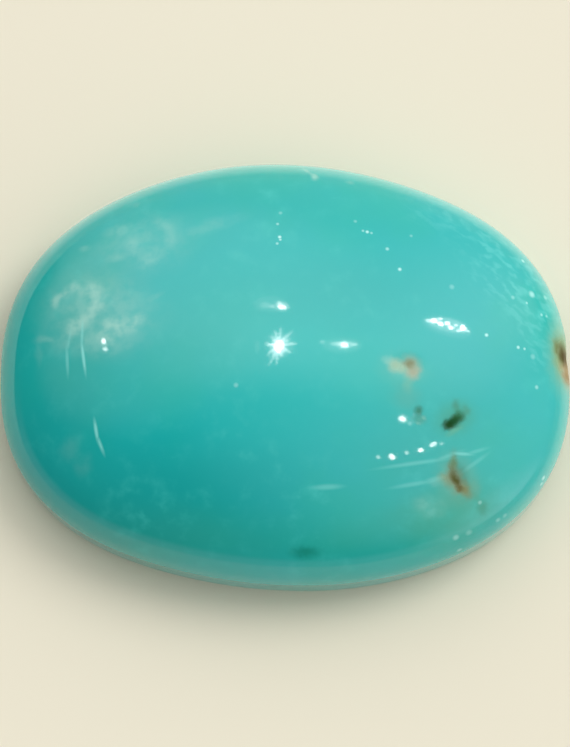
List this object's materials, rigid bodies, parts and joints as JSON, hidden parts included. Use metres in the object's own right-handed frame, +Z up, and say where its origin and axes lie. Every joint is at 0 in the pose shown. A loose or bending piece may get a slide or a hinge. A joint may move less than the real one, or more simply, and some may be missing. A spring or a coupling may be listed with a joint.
{
  "type": "turquoise cabochon",
  "caption": "Oval turquoise stone with a polished low dome, an upright wall, a narrow bevel at its foot and a flat back for a bezel setting",
  "frame": {"origin": "middle of the flat back, on the surface that the stone lies on", "axes": "+X along the oval's length, +Y along its width, +Z up through the crown of the dome"},
  "size_m": [0.016, 0.012, 0.0042],
  "materials": {
    "polished_turquoise": "hard polish on the dome and the wall, finely ground on the back, with brown and dark green matrix specks"
  },
  "bodies": {
    "root": {"turquoise_cabochon": "polished_turquoise"}
  },
  "joints": []
}
